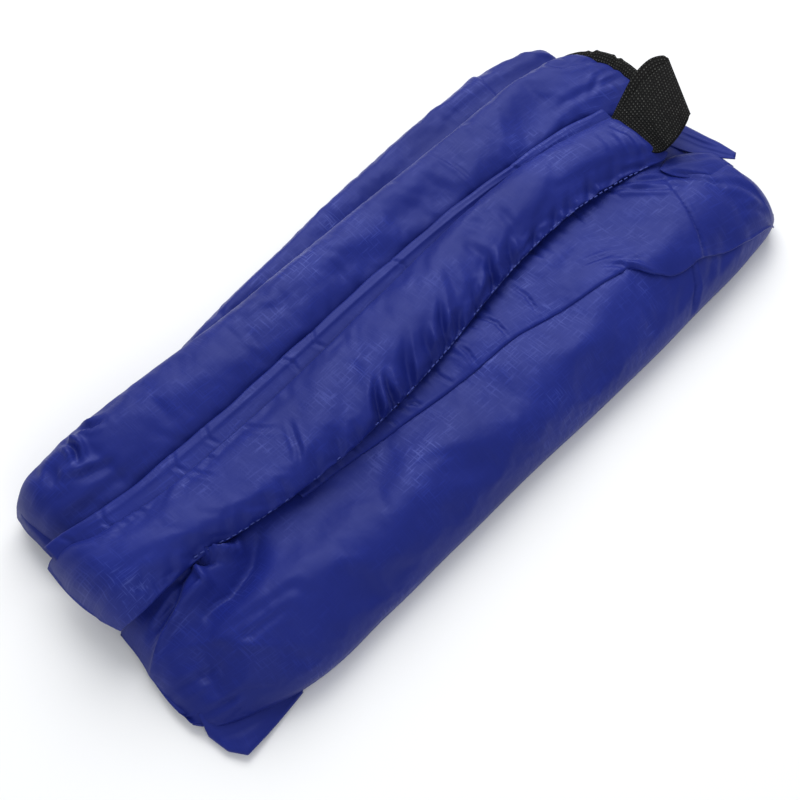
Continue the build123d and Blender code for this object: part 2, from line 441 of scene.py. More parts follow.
def swells(points, seed):
    """Gentle uneven swells, much longer along the bundle than across it."""
    draw = np.random.default_rng(seed)
    total = np.zeros(len(points))
    for _ in range(9):
        turn = draw.normal(math.pi / 2, 0.35)
        size = draw.uniform(24, 70)
        phase, bend = draw.uniform(0, 2 * math.pi, 2)
        run = points[:, 0] * math.cos(turn) + points[:, 1] * math.sin(turn) + points[:, 2] * 0.7
        sway = 9 * np.sin(points[:, 0] * 0.017 + bend)
        total += np.sin((run + sway) * 2 * math.pi / size + phase) * size / 90
    return total


def press(piece, forms, seed=0, rough=0.0, floor=None):
    """Works forms and gentle swells into a piece's upward-facing cloth.

    With a floor, (y, height) points across the bundle in millimetres, it works them straight
    down, and no further than the floor.
    """
    points, normals = places_of(piece)
    lift = sum((form(points) for form in forms), np.zeros(len(points)))
    facing = np.clip(normals[:, 2] * (5 if floor else 2.2) + 0.25, 0, 1)
    lift = lift * facing
    if rough:
        lift = lift + swells(points, seed) * rough
    if floor:
        normals = np.array([[0.0, 0.0, 1.0]])
        least = np.interp(points[:, 1], *np.array(floor).T)
        lift = np.maximum(lift, np.minimum(0, least - points[:, 2]))
    put_places(piece, points + normals * lift[:, None])


def subdivide(piece):
    """One level of subdivision, applied."""
    bpy.context.view_layer.objects.active = piece
    finer = piece.modifiers.new("finer", "SUBSURF")
    finer.levels = 1
    finer.render_levels = 1
    bpy.ops.object.modifier_apply(modifier="finer")


def relax(piece, slack):
    """Lets the cloth settle: a little too much cloth, lightly blown up.

    The cloth that faces down or sideways is held, and what faces up is free.
    """
    before, normals = places_of(piece)
    held = np.clip(1.3 - 2.2 * normals[:, 2], 0, 1)
    group = piece.vertex_groups.new(name="held")
    for index, weight in enumerate(held):
        group.add([index], float(weight), "REPLACE")
    cloth = piece.modifiers.new("cloth", "CLOTH")
    settings = cloth.settings
    settings.quality = 5
    settings.mass = 0.15
    settings.tension_stiffness = 18
    settings.compression_stiffness = 18
    settings.shear_stiffness = 6
    settings.bending_stiffness = 0.06
    settings.tension_damping = 12
    settings.compression_damping = 12
    settings.shear_damping = 8
    settings.vertex_group_mass = "held"
    settings.pin_stiffness = 1.0
    settings.shrink_min = -slack
    settings.use_pressure = True
    settings.uniform_pressure_force = CLOTH_PRESSURE
    settings.effector_weights.gravity = 0.0
    cloth.collision_settings.use_collision = False
    cloth.point_cache.frame_start = 1
    cloth.point_cache.frame_end = CLOTH_FRAMES
    scene = bpy.context.scene
    for number in range(1, CLOTH_FRAMES + 1):
        scene.frame_set(number)
    graph = bpy.context.evaluated_depsgraph_get()
    settled = piece.evaluated_get(graph).data
    after = np.zeros(len(settled.vertices) * 3)
    settled.vertices.foreach_get("co", after)
    after = after.reshape(-1, 3) / MM
    piece.modifiers.remove(cloth)
    piece.vertex_groups.remove(group)
    scene.frame_set(1)
    move = after - before
    length = np.linalg.norm(move, axis=1, keepdims=True)
    move *= np.minimum(1, CLOTH_SETTLE_CAP / np.maximum(length, 1e-6))
    put_places(piece, before + move)


def dress(piece, material, body, slot, *nodes):
    """Gives a piece its material and its body, and hides the CAD nodes that it stands for."""
    piece.data.materials.clear()
    piece.data.materials.append(material)
    if nodes:
        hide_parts(*nodes)
    if body:
        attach(piece, body)


# ---------------------------------------------------------------- the sleeves

def seam_line(x):
    """The sewn seam's place across the bundle."""
    return smooth(SEAM, np.atleast_1d(np.array(x, float)))[:, 0]


SEAM = [(-218, -19), (-173, -19), (-138, -27), (-100, -32), (-72, -33), (0, -29), (42, -22),
        (78, -18), (108, -17), (144, -22), (178, -30)]


def gathers_over_seam(first, last, seed):
    """Gathers that fan out from the seam into the top fold, strongest in the middle."""
    draw = np.random.default_rng(seed)
    forms = []
    x = first
    while x < last:
        y = float(seam_line(x)[0])
        strong = 1.0 if -64 < x < 70 else 0.6 if 0 < x < 130 else 0.3
        reach = draw.uniform(9, 23) * (0.5 + 0.5 * strong)
        lean = reach * draw.uniform(0.35, 1.05)
        line = [(x, y - 1), (x + lean * 0.42, y + reach * 0.5), (x + lean, y + reach)]
        deep = strong * draw.uniform(5.0, 9.5)
        forms.append(crease(line, deep, draw.uniform(1.5, 2.9), 0.25, 1.0))
        crest = [(x + 5.5, y), (x + 5.5 + lean * 0.4, y + reach * 0.45), (x + 5 + lean, y + reach)]
        forms.append(ridge(crest, strong * draw.uniform(1.5, 3.2), 1.1, 0.7))
        x += draw.uniform(9, 20)
    return forms


def gathers_under_seam(first, last, seed):
    """Short fine gathers from the seam across the flap."""
    draw = np.random.default_rng(seed)
    forms = []
    x = first
    while x < last:
        y = float(seam_line(x)[0])
        reach = draw.uniform(6, 15)
        lean = draw.uniform(-3, 4)
        line = [(x, y + 3), (x + lean * 0.5, y - reach * 0.5), (x + lean, y - reach)]
        forms.append(crease(line, draw.uniform(0.7, 1.5), draw.uniform(0.8, 1.3), 0.35, 1.0))
        x += draw.uniform(7, 15)
    return forms


def make_centre_sleeve():
    """The top fold: flat on top, folded sharp on its left, gathered along its right seam."""
    shape = [(0.0, 0.12), (0.02, 0.22), (0.09, 0.46), (0.19, 0.72), (0.31, 0.92), (0.43, 1.0),
             (0.60, 0.99), (0.82, 0.84), (0.95, 0.58), (1.0, 0.40), (0.965, 0.26), (0.80, 0.10),
             (0.40, 0.0), (0.06, 0.02)]
    stations = [(-219, -17, 38, 27, 37), (-207, -20, 31, 30, 44.5), (-190, -21, 23, 34, 49),
                (-165, -22, 17, 37, 51), (-138, -27, 15, 38.6, 51.5), (-72, -33, 14.5, 38.6, 53),
                (0, -29, 19, 38.6, 53), (78, -18, 22.5, 38.6, 52.5), (120, -18, 21, 38.6, 51.5),
                (150, -22, 16, 38.6, 50.5), (178, -32, 9, 38.6, 48)]
    ends = [(0, 8, 2), (0.3, 4, 0), (0.65, 3, 1), (1, 5, 3)]
    piece = sleeve("centre_sleeve_cloth", shape, stations, 17, 4, (20, 44), ends)
    press(piece, [
        dent((-40, -12), (60, 14), 0.8), dent((60, 8), (50, 12), 1.0),
        dent((130, 0), (26, 14), 1.0), dent((-205, 6), (12, 10), 1.2),
        ridge([(60, 16), (66, 4), (62, -14)], 1.2, 7),
    ], seed=3, rough=0.22)
    relax(piece, slack=0.010)
    subdivide(piece)
    press(piece, gathers_over_seam(-196, 166, 7), floor=[(-10.0, 39.6), (-6.5, 46.2)])
    press(piece, [
        crease([(-84, -4), (-89, -13), (-92, -19), (-97, -25)], 1.1, 1.2, 0.8),
        crease([(-100, 13), (-96, 4), (-90, -2)], 0.6, 1.3, 0.7),
        crease([(-217, 26), (-190, 13), (-150, 7)], 0.7, 2.6, 0.5),
        crease([(-219, 2), (-196, -3), (-172, -9)], 0.8, 2.4, 0.5),
        crease([(-136, 15), (-133, 7), (-130, 2)], 0.8, 1.2, 0.7),
        crease([(-126, 15), (-122, 9)], 0.7, 1.1, 0.7),
        crease([(-168, 20), (-166, 12)], 0.8, 1.1, 0.8),
        crease([(-177, 22), (-176, 14)], 0.8, 1.1, 0.8),
        crease([(20, -22), (30, -10), (38, 6)], 0.8, 2.6, 0.7),
        crease([(48, -18), (56, -6), (54, 8)], 0.9, 2.4, 0.7),
        crease([(74, -14), (82, -4), (84, 10)], 0.8, 2.2, 0.7),
        crease([(160, -22), (165, -12), (168, 0)], 0.7, 1.6, 0.7),
        crease([(150, -20), (158, -6), (160, 6)], 0.6, 1.6, 0.7),
        crease([(170, 8), (172, -10), (168, -26)], 0.9, 1.3, 0.6),
    ])
    return piece


def make_left_sleeve():
    """The wide roll between the rear sleeve and the edge band."""
    shape = [(0.0, 0.42), (0.015, 0.60), (0.11, 0.75), (0.34, 0.89), (0.58, 0.99), (0.80, 1.0),
             (0.95, 0.84), (1.0, 0.60), (0.985, 0.20), (0.90, 0.0), (0.5, -0.02), (0.06, 0.05)]
    stations = [(-209, 41, 76, 7, 26), (-200, 36, 77, 9, 33), (-184, 32, 77, 13, 39),
                (-160, 29, 77, 18, 42.5), (-120, 27, 75, 22, 45.5), (-66, 28, 71, 23, 46.5),
                (0, 29, 69.5, 23.5, 47), (60, 29, 68.5, 23.5, 46.5), (120, 26, 67.5, 23.5, 46),
                (172, 19, 66, 23.5, 45), (192, 10, 65, 23, 43), (214, 8, 62, 22, 39)]
    ends = [(0, 3, -2), (0.3, 3, 3), (0.7, 3, -4), (1, 5, -15)]
    piece = sleeve("left_sleeve_cloth", shape, stations, 15, 10, (7, 30), ends)
    press(piece, [dent((-120, 42), (40, 8), 0.8), dent((20, 40), (60, 8), 0.7),
                  dent((150, 44), (30, 10), 1.0)], seed=5, rough=0.24)
    relax(piece, slack=0.012)
    subdivide(piece)
    press(piece, [
        step([(91, 28), (92, 45), (89, 63)], 1.4, 16),
        crease([(89, 63), (92, 46), (91, 28)], 1.3, 0.8, 0.2),
        crease([(-157, 74), (-152, 69), (-146, 67)], 2.4, 1.6, 0.8),
        crease([(-167, 72), (-166, 65), (-170, 59)], 2.8, 1.5, 1.0),
        ridge([(-170, 70), (-161, 70), (-163, 63)], 2.0, 2.0),
        ridge([(-181, 62), (-172, 56), (-156, 50)], 1.5, 1.8),
        crease([(-183, 58), (-172, 52), (-156, 47)], 1.3, 2.0, 0.5),
        crease([(-176, 68), (-186, 60), (-196, 57)], 1.0, 2.2, 0.6),
        crease([(-204, 60), (-188, 53), (-160, 47)], 0.9, 2.6, 0.5),
        crease([(-206, 46), (-182, 41), (-140, 37)], 0.8, 2.6, 0.5),
        crease([(-62, 60), (-40, 52), (-10, 50)], 0.5, 3.0, 0.5),
        crease([(-58, 54), (-30, 46), (10, 44)], 0.5, 3.2, 0.5),
        ridge([(120, 66), (160, 64), (205, 52)], 0.7, 2.6),
        crease([(178, 64), (186, 52), (212, 40)], 1.2, 1.6, 0.6),
        crease([(160, 36), (182, 32), (212, 24)], 0.9, 2.0, 0.6),
        ridge([(176, 62), (196, 56), (210, 46)], 1.3, 2.0),
        crease([(182, 28), (196, 34), (212, 32)], 1.0, 1.3, 0.6),
    ])
    return piece


def make_rear_sleeve():
    """The flattened layer along the left side, mostly under the left sleeve."""
    shape = [(0.0, 0.80), (0.12, 0.86), (0.40, 0.88), (0.66, 0.86), (0.80, 0.97), (0.90, 0.96),
             (0.98, 0.62), (1.0, 0.16), (0.94, 0.0), (0.5, 0.30), (0.05, 0.40)]
    stations = [(-118, 34, 81, 1, 20), (-100, 30, 83, 1, 23), (-60, 30, 88, 1, 25),
                (0, 30, 93, 1, 26), (60, 30, 97, 1, 26), (130, 30, 99, 1, 26),
                (180, 30, 95, 1, 25), (213, 32, 84, 1, 21)]
    piece = sleeve("rear_sleeve_cloth", shape, stations, 14, 10, (8, 9), [(0, 0, 0), (1, 6, -3)])
    press(piece, [], seed=9, rough=0.20)
    relax(piece, slack=0.012)
    subdivide(piece)
    press(piece, [
        step([(157, 66), (158, 84), (161, 98)], 1.5, 18),
        crease([(161, 98), (158, 84), (157, 66)], 1.3, 0.8, 0.2),
        crease([(-104, 79), (-60, 76), (0, 76)], 0.6, 2.6, 0.5),
        crease([(60, 88), (120, 84), (180, 80)], 0.5, 3.2, 0.5),
        ridge([(188, 92), (196, 80), (210, 70)], 1.3, 1.8),
        crease([(150, 94), (120, 90), (80, 88)], 0.5, 2.8, 0.5),
    ])
    return piece


def make_right_sleeve():
    """The widest panel, on the right side, under the seam and its flap."""
    shape = [(0.0, 0.24), (0.008, 0.40), (0.055, 0.62), (0.15, 0.82), (0.29, 0.96), (0.42, 0.99),
             (0.55, 0.90), (0.68, 0.86), (0.80, 0.90), (0.96, 0.86), (1.0, 0.62), (0.98, 0.30),
             (0.55, 0.26), (0.20, 0.24), (0.15, 0.02), (0.03, 0.03)]
    stations = [(-217, -72, -9, 2, 14), (-211, -78, -9, 1.5, 20), (-203, -83, -9, 1, 25),
                (-190, -88.5, -8, 0.3, 30), (-174, -94, -7, 0.3, 34), (-160, -97, -7, 0.3, 36),
                (-110, -98, -7, 0.3, 37), (0, -97.5, -7, 0.3, 37.5),
                (120, -97.5, -7, 0.3, 37), (180, -95.5, -7, 0.3, 35.5), (202, -93, -8, 0.3, 31),
                (212, -90, -10, 0.3, 26)]
    ends = [(0, 0, -1), (0.10, 0, 1), (0.25, 0, 3), (0.5, 2, 2), (0.8, 6, -1), (1, 7, 0)]
    piece = sleeve("right_sleeve_cloth", shape, stations, 14, 10, (5, 10), ends)
    press(piece, [
        dent((-200, -62), (13, 15), 9.0), dent((-150, -20), (30, 9), 3.0),
        dent((-100, -44), (60, 9), 1.6), dent((40, -60), (70, 8), 1.2),
        dent((-176, -36), (18, 10), -2.5), dent((-60, -72), (90, 14), -0.8),
    ], seed=11, rough=0.25)
    relax(piece, slack=0.010)
    subdivide(piece)
    press(piece, [
        dent((-152, -26), (10, 6), -5.0), dent((-174, -29), (11, 6), -4.5),
        ridge([(-190, -14), (-168, -18), (-153, -27), (-145, -31), (-141, -25)], 7.0, 1.5),
        crease([(-180, -19), (-166, -22), (-154, -31)], 3.4, 1.8, 0.4),
        ridge([(-186, -18), (-174, -17), (-166, -24), (-168, -33), (-181, -32), (-198, -33),
               (-212, -37)], 7.0, 1.5),
        crease([(-174, -23), (-184, -26), (-202, -28)], 3.4, 1.8, 0.4),
        crease([(-132, -30), (-146, -39), (-164, -43), (-184, -41)], 8.0, 5.0, 0.1),
        ridge([(-212, -37), (-197, -43), (-182, -56), (-175, -71), (-160, -84)], 2.0, 3.4),
        crease([(-180, -56), (-160, -62), (-138, -66)], 0.7, 2.0, 0.6),
        crease([(-184, -60), (-172, -66), (-150, -70)], 1.0, 1.8, 0.6),
        crease([(-214, -52), (-204, -58), (-192, -62)], 1.2, 2.0, 0.7),
        crease([(-150, -60), (-142, -66), (-140, -74)], 0.5, 2.6, 0.6),
        crease([(-212, -70), (-204, -75), (-186, -82)], 1.2, 1.4, 0.5),
        crease([(-60, -62), (-44, -66), (-30, -74)], 0.4, 2.4, 0.6),
        step([(143, -76), (134, -91), (122, -99)], 1.6, 16),
        crease([(143, -76), (134, -91), (122, -99)], 1.8, 0.8, 0.2),
        crease([(108, -66), (100, -78), (96, -92)], 0.5, 1.6, 0.5),
    ])
    return piece


LAYER = [(0.0, 0.50), (0.006, 0.78), (0.03, 0.95), (0.10, 1.0), (0.50, 1.0), (0.90, 1.0),
         (0.97, 0.95), (0.994, 0.78), (1.0, 0.50), (0.994, 0.22), (0.97, 0.05), (0.90, 0.0),
         (0.50, 0.0), (0.10, 0.0), (0.03, 0.05), (0.006, 0.22)]


def make_layer(name, stations, tips, seed, rough, forms):
    """A flat folded layer of sleeve cloth with soft rolled edges."""
    ends = [(0, 2, -2), (0.3, 0, 1), (0.7, 1, 0), (1, 3, -3)]
    piece = sleeve(name, LAYER, stations, 5, 5, tips, ends)
    press(piece, forms, seed=seed, rough=rough)
    return piece


def make_base_sleeve():
    """The bottom layer, which all the others are folded onto."""
    stations = [(-202, -80, 80, 0.3, 8), (-190, -81, 83, 0.3, 9.2), (-120, -81, 84, 0.3, 9.6),
                (0, -81, 84, 0.3, 9.6), (150, -81, 83, 0.3, 9.4), (192, -79, 80, 0.3, 8)]
    return make_layer("base_sleeve_cloth", stations, (4, 4), 13, 0.22, [
        crease([(-200, 62), (-180, 70), (-150, 76)], 1.2, 1.8, 0.5),
        crease([(-196, 48), (-188, 60), (-184, 80)], 0.9, 1.5, 0.5),
        ridge([(-202, 74), (-176, 77), (-140, 79)], 0.8, 1.8),
        crease([(188, 20), (176, 10), (160, 6)], 1.2, 1.8, 0.5),
        crease([(190, -2), (178, -6), (164, -4)], 0.9, 1.5, 0.5),
    ])


def make_core_sleeve():
    """The layer folded back over the base, in the middle of the bundle."""
    stations = [(-205, -5, 27, 9.9, 19), (-190, -6, 28, 9.9, 22.3), (0, -6, 28, 9.9, 22.6),
                (185, -6, 28, 9.9, 22.3), (202, -5, 27, 9.9, 19)]
    return make_layer("core_sleeve_cloth", stations, (14, 14), 15, 0.22, [
        crease([(-204, 4), (-190, 8), (-170, 9)], 1.0, 1.6, 0.5),
        crease([(-205, 18), (-192, 17), (-176, 21)], 0.9, 1.4, 0.5),
        crease([(202, 8), (190, 10), (176, 8)], 1.0, 1.6, 0.5),
    ])


def make_foot_turnback():
    """The end folded back over the core, under the top fold's foot half."""
    stations = [(-209, -5, 19, 22.6, 33), (-196, -6, 19.5, 22.6, 37), (-110, -6, 19, 22.6, 38),
                (-26, -5, 18, 22.6, 36)]
    return make_layer("foot_turnback_cloth", stations, (28, 29), 17, 0.22, [
        crease([(-209, 6), (-196, 9), (-178, 8)], 1.0, 1.6, 0.5),
        crease([(-208, 14), (-198, 12), (-186, 15)], 0.9, 1.3, 0.5),
    ])


def make_head_turnback():
    """The end folded back over the core, under the top fold's head half."""
    stations = [(26, -5, 18, 22.6, 36), (90, -6, 19, 22.6, 38), (165, -6, 19, 22.6, 37.5),
                (180, -5, 18, 22.6, 33)]
    return make_layer("head_turnback_cloth", stations, (29, 28), 19, 0.22, [
        crease([(180, 4), (168, 6), (150, 5)], 1.0, 1.6, 0.5),
        crease([(180, 12), (170, 11), (158, 14)], 0.9, 1.3, 0.5),
    ])


def make_rear_turnunder():
    """The corner folded under the left sleeve at its foot end."""
    stations = [(-208, 30, 70, 9.9, 17), (-196, 29, 74, 9.9, 21), (-150, 29, 76, 9.9, 22),
                (-116, 29, 76, 9.9, 20)]
    return make_layer("rear_turnunder_cloth", stations, (13, 14), 23, 0.24, [
        crease([(-208, 58), (-192, 62), (-170, 70)], 1.2, 1.6, 0.5),
        crease([(-206, 44), (-190, 50), (-184, 74)], 0.9, 1.5, 0.5),
        crease([(-150, 75), (-140, 62), (-124, 58)], 0.8, 1.5, 0.5),
    ])


# ---------------------------------------------------------------- thin cloth pieces

def top_of(piece):
    """A function that gives a piece's height, in millimetres, at a place seen from above."""
    mesh = piece.data
    tree = BVHTree.FromPolygons([v.co for v in mesh.vertices], [p.vertices for p in mesh.polygons])

    def height(x, y, other=0.0):
        hit = tree.ray_cast(Vector((x * MM, y * MM, ABOVE_ALL * MM)), Vector((0, 0, -1)))[0]
        return hit.z / MM if hit else other

    return height


def strip(name, lines, count, thick):
    """A cloth strip through several lines of points, closed and thick millimetres through."""
    lines = [np.array(line, float) for line in lines]
    length = len(lines[0])
    shares = np.linspace(0, 1, count)
    places = np.linspace(0, 1, len(lines))
    grid = np.zeros((length, count, 3))
    for i in range(length):
        grid[i] = smooth(np.column_stack([places, [line[i] for line in lines]]), shares)
    across = np.linalg.norm(np.diff(grid, axis=1), axis=2).mean(axis=0)
    along = np.linalg.norm(np.diff(grid, axis=0), axis=2).mean(axis=1)
    u = np.concatenate([[0], np.cumsum(along)])
    v = np.concatenate([[0], np.cumsum(across)])
    uvs = np.stack(np.meshgrid(u, v, indexing="ij"), axis=2).reshape(-1, 2)
    faces = []
    for i in range(length - 1):
        for j in range(count - 1):
            a = i * count + j
            faces.append((a, a + 1, a + count + 1, a + count))
    piece = make_mesh(name, grid.reshape(-1, 3), faces, uvs)
    solid = piece.modifiers.new("thickness", "SOLIDIFY")
    solid.thickness = thick * MM
    solid.offset = 0.0
    bpy.context.view_layer.objects.active = piece
    bpy.ops.object.modifier_apply(modifier="thickness")
    return piece


FLAP_EDGE = [(-104, -31), (-78, -34), (-38, -39), (5, -44), (40, -46), (80, -55), (100, -59),
             (111, -63), (116, -71), (122, -77), (145, -83), (172, -90), (207, -92)]


def make_seam_flap(under):
    """The loose layer over the right sleeve, from under the seam to its folded edge."""
    height = top_of(under)
    x = np.arange(-104, 204, FLAP_STEP)
    edge = smooth(FLAP_EDGE, x)[:, 0]
    flare = np.clip((x + 104) / 30, 0, 1)
    shares = np.linspace(0, 1, 22)
    lines = []
    for share in shares:
        line = []
        for place, outer, open_by in zip(x, edge, flare):
            y = -13 + (outer + 13) * share
            swell = 1.2 + 2.2 * math.sin(math.pi * min(1, share * 1.02)) ** 0.7 * open_by
            line.append((place, y, max(height(place, max(y, -93.0), 8.0), 8.0) + swell))
        lines.append(line)
    lip = np.array(lines[-1])
    for out, drop in ((0.7, 0.5), (0.9, 1.1), (-1.5, 1.2), (-5, 0.8)):
        lines.append(lip - np.column_stack([0 * x, out + 0 * x, drop + 0 * x]))
    piece = strip("seam_flap_cloth", lines, 60, CLOTH_THICKNESS)
    press(piece, gathers_under_seam(-92, 150, 21) + [
        step([(144, -88), (153, -75), (160, -62), (165, -48), (168, -40)], 1.6, 20),
        crease([(169, -38), (164, -50), (158, -64), (152, -76), (144, -88)], 1.9, 0.8, 0.2),
        ridge([(110, -57), (114, -66), (118, -76)], 1.8, 1.8),
        crease([(106, -56), (110, -66), (114, -74)], 1.4, 1.4, 0.6),
        crease([(100, -50), (108, -58), (120, -64)], 0.8, 1.4, 0.6),
        crease([(96, -42), (104, -46), (112, -50)], 0.7, 1.2, 0.6),
        crease([(60, -22), (60, -34), (57, -44)], 1.4, 0.9, 0.35),
        crease([(34, -24), (36, -34), (34, -45)], 1.5, 0.9, 0.35),
        crease([(12, -28), (12, -36), (10, -44)], 1.5, 0.9, 0.35),
        crease([(-30, -33), (-26, -39)], 1.2, 0.9, 0.35),
        crease([(-8, -30), (-6, -42)], 1.0, 0.9, 0.35),
        ridge([(142, -24), (152, -30), (164, -47)], 2.0, 3.4),
        crease([(144, -22), (156, -36), (166, -48)], 1.8, 1.2, 0.5),
        crease([(150, -24), (162, -32), (172, -40)], 1.2, 1.2, 0.6),
        dent((150, -55), (14, 12), 1.2), dent((100, -40), (26, 9), 0.8),
        crease([(172, -38), (181, -52), (187, -64)], 1.3, 1.2, 0.6),
        crease([(186, -60), (196, -70), (203, -84)], 0.9, 2.0, 0.6),
        crease([(184, -80), (194, -84), (203, -92)], 0.7, 1.6, 0.6),
    ])
    return piece


def make_foot_corner():
    """The flat folded corner of the base, which shows under the right sleeve's foot end."""
    inner = [(-216, -69), (-208, -70), (-190, -78), (-166, -88)]
    outer = [(-214.5, -78), (-213, -90), (-208, -98), (-196, -97.5), (-184, -96.5), (-168, -95)]
    t = np.linspace(0, 1, 60)
    inside = smooth([(i / 3, x + 4, y) for i, (x, y) in enumerate(inner)], t)
    outside = np.column_stack([np.interp(t * 5, range(6), [p[k] for p in outer]) for k in (0, 1)])
    lines = []
    for share in np.linspace(0, 1, 9):
        flat = inside * (1 - share) + outside * share
        z = 8.5 - 4.5 * share + 0.5 * np.sin(t * 9 + share * 4)
        lines.append(np.column_stack([flat, z]))
    under = lines[-1] - np.column_stack([0 * t, 0 * t, 1.6 + 0 * t])
    lines.append(under)
    lines.append(np.column_stack([inside * 0.4 + outside * 0.6, 1.6 + 0 * t]))
    piece = strip("foot_corner_cloth", lines, 34, CLOTH_THICKNESS)
    press(piece, [crease([(-214, -82), (-204, -88), (-190, -92)], 0.5, 1.6, 0.5)])
    return piece


def make_edge_band():
    """The narrow doubled hem between the left sleeve and the top fold."""
    x = np.arange(-210, 180, BAND_STEP)
    table = [(-212, 40, 32, 31), (-207, 38, 29, 35), (-197, 34.5, 25, 39.5), (-172, 29.5, 17, 42.5),
             (-138, 27.5, 13, 43.6), (-72, 27.5, 14, 44), (0, 29.5, 18, 44), (78, 29, 21, 44),
             (120, 26, 20, 43.6), (150, 23, 15, 43), (180, 17, 8, 41.5)]
    outer, inner, top = smooth(table, x).T
    jog = 0.2 * np.sin(x * 0.21) + 0.25 * np.sin(x * 0.093 + 1)
    lines = [np.column_stack([x, outer - 3, top - 6]), np.column_stack([x, outer - 1, top - 5]),
             np.column_stack([x, outer + 0.2 + jog, top - 1.2]),
             np.column_stack([x, outer + jog, top - 0.2]),
             np.column_stack([x, outer - 1.4 + jog, top + 0.2]),
             np.column_stack([x, outer * 0.55 + inner * 0.45, top - 0.4]),
             np.column_stack([x, inner + 2.0, top - 1.2]),
             np.column_stack([x, inner - 2.0, top - 2.2])]
    piece = strip("edge_band_cloth", lines, 40, BAND_THICKNESS)
    hem = np.column_stack([x, outer - 4])[::12]
    forms = [ridge(hem.round(1).tolist(), 0.8, 1.0)]
    for place, run in ((-203, 3), (-179, -4), (-134, -5), (-113, -4), (-60, 3), (-36, -5),
                       (22, 4), (112, 4)):
        y = float(smooth(table, np.array([place]))[0, 0])
        forms.append(crease([(place, y + 1), (place + run, y - 6), (place + run * 0.5, y - 12)],
                            0.8, 1.0, 0.3))
    press(piece, forms)
    return piece


def make_hem_tail():
    """The pointed blue end that sticks out under the loop."""
    t = np.linspace(0, 1, 34)
    lines = []
    for share in np.linspace(0, 1, 8):
        start, middle = (190 + 19 * share, -18), (192 + 20 * share, -36)
        tip = (209 + 5 * share, -56 + 3 * share)
        x = (1 - t) ** 2 * start[0] + 2 * t * (1 - t) * middle[0] + t * t * tip[0]
        y = (1 - t) ** 2 * start[1] + 2 * t * (1 - t) * middle[1] + t * t * tip[1]
        lines.append(np.column_stack([x, y, 34.4 - 2.4 * share - 0.6 * np.sin(6 * share) + 0 * t]))
    piece = strip("hem_tail_cloth", lines, 20, CLOTH_THICKNESS)
    press(piece, [crease([(202, -20), (206, -36), (213, -53)], 0.9, 0.9, 0.7),
                  crease([(206, -22), (209, -36), (214, -52)], 0.7, 0.8, 0.7)])
    return piece


def make_head_tuck():
    """A flat tuck where the seam's cloth is gathered beside the loop."""
    shape = [(0.0, 0.30), (0.10, 0.62), (0.34, 0.92), (0.62, 1.0), (0.88, 0.80), (1.0, 0.40),
             (0.90, 0.05), (0.5, 0.0), (0.08, 0.10)]
    stations = [(171, -36, -32, 37, 39), (180, -50, -30, 36, 40.4), (190, -58, -34, 35, 39.8),
                (205, -59, -44, 31, 35.5)]
    piece = sleeve("head_tuck_cloth", shape, stations, 5, 7, (39.5, 33.5))
    subdivide(piece)
    press(piece, [crease([(174, -38), (182, -50), (190, -60)], 0.9, 1.0, 0.8),
                  crease([(178, -33), (190, -42), (202, -48)], 0.7, 1.2, 0.8)])
    return piece


def make_mouth_binding():
    """Black tape that stands on the lower layers' mouth and binds the raw edges there."""
    t = np.linspace(0, 1, 60)
    table = [(0, 200, 60, 34), (0.2, 207, 54, 36.5), (0.4, 213.5, 45, 38), (0.6, 217, 34, 38),
             (0.8, 217, 20, 37), (1, 213, 4, 36)]
    x, y, z = smooth(table, t).T
    wave = 0.3 * np.sin(t * 19) + 0.1 * np.sin(t * 41)
    foot = np.clip(z - 14, 20, 23)
    lines = [np.column_stack([x - 9, y - 2, z - 1.0]), np.column_stack([x - 5, y, z + 1.0 + wave]),
             np.column_stack([x - 1, y, z + 1.2 + wave]), np.column_stack([x, y, z - 1.5]),
             np.column_stack([x - 1.5, y, z - 8]), np.column_stack([x - 11, y, foot])]
    piece = strip("mouth_binding_tape", lines, 18, TAPE_THICKNESS)
    press(piece, [crease([(212, 52), (206, 44)], 0.9, 1.0, 0.8),
                  crease([(220, 38), (210, 33)], 0.8, 1.0, 0.8)])
    return piece


# ---------------------------------------------------------------- webbing loop and stitches

# The loop's two edges, from inside the top fold, round the tip and back below
LOOP_LEFT = [(173, 6, 43.2), (181, 6.5, 46.6), (192, 6.0, 53.0), (204, 5, 58.5),
             (213, 3, 61.6), (217.5, 4, 61.4), (219, 8, 60.4), (212, 12.5, 59.4),
             (200, 13, 56.5), (187, 10.5, 49.0), (174, 7, 42.4)]
LOOP_RIGHT = [(168, -15, 43.0), (176, -27, 44.6), (180, -30.5, 50.5), (187, -31, 55.0),
              (193, -30, 59.0), (197, -28.5, 59.6), (199, -26.0, 56.0), (197, -24, 50.5),
              (192, -25, 46.2), (184, -25, 43.6), (169, -14, 42.2)]


def make_carry_loop():
    """The webbing loop, which turns as it rises so that its tip leans to the foot."""
    t = np.linspace(0, 1, 90)
    places = np.linspace(0, 1, len(LOOP_LEFT))
    left_edge = smooth(np.column_stack([places, LOOP_LEFT]), t)
    right_edge = smooth(np.column_stack([places, LOOP_RIGHT]), t)
    lines = [right_edge * (1 - share) + left_edge * share for share in np.linspace(0, 1, 9)]
    return strip("carry_loop_webbing", lines, 34, LOOP_THICKNESS)


def make_loop_tail():
    """The loop's sewn end, flat inside the top fold."""
    x = np.arange(160, 177, 1.0)
    lines = [np.column_stack([x, y + 0 * x, 42.4 + 0 * x]) for y in (-14, -6, 3)]
    return strip("loop_tail_webbing", lines, 20, LOOP_THICKNESS)


def seam_stitch_places():
    """Stitch places and directions on the seam line, each in the bottom of the gathers."""
    made = []
    x = -164.0
    while x < 168:
        y, after = seam_line([x, x + 2.0])
        run = Vector((2.0, float(after - y), 0.0)).normalized()
        made.append(((x, float(y) + 0.1, 41.0 + 0.4 * math.sin(x * 0.7)), run))
        x += STITCH_PITCH
    return made


